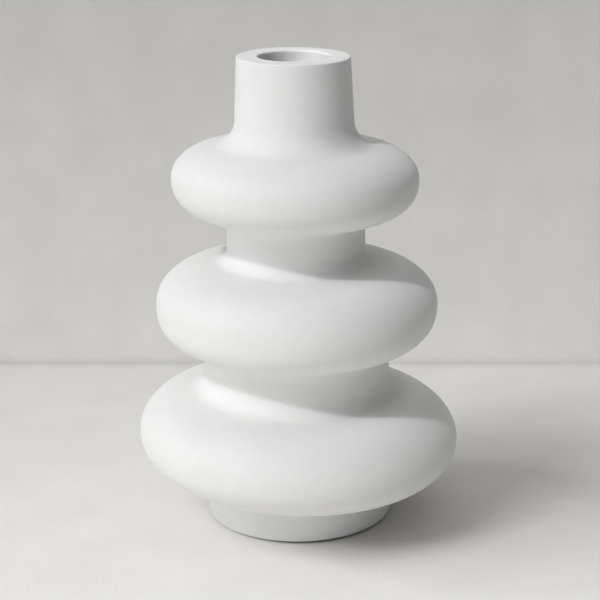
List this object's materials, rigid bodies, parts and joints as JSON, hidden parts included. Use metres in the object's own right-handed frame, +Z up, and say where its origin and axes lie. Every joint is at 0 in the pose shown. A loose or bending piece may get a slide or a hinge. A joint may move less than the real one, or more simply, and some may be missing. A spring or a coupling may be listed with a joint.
{
  "type": "concrete vase",
  "caption": "Cast concrete vase: a stack of round bulbs that shrink towards a plain neck, hollow and sealed inside for water and cut flowers, on a short foot with thin pads.",
  "frame": {"origin": "on the surface that the vase stands on, under the middle of its foot", "axes": "+Z up along the axis of the vase, from the foot to the mouth; the picture looks along +Y with +X to the right"},
  "size_m": [0.1714, 0.1714, 0.25],
  "materials": {
    "concrete": "matte, fine-grained pale cement, smooth as it left the mould",
    "sealer": "satin, brushed-on waterproof coat",
    "pad": "matte"
  },
  "bodies": {
    "root": {"concrete_body": "concrete", "sealing_coat": "sealer", "foot_pad_1": "pad", "foot_pad_2": "pad", "foot_pad_3": "pad", "foot_pad_4": "pad"}
  },
  "joints": []
}
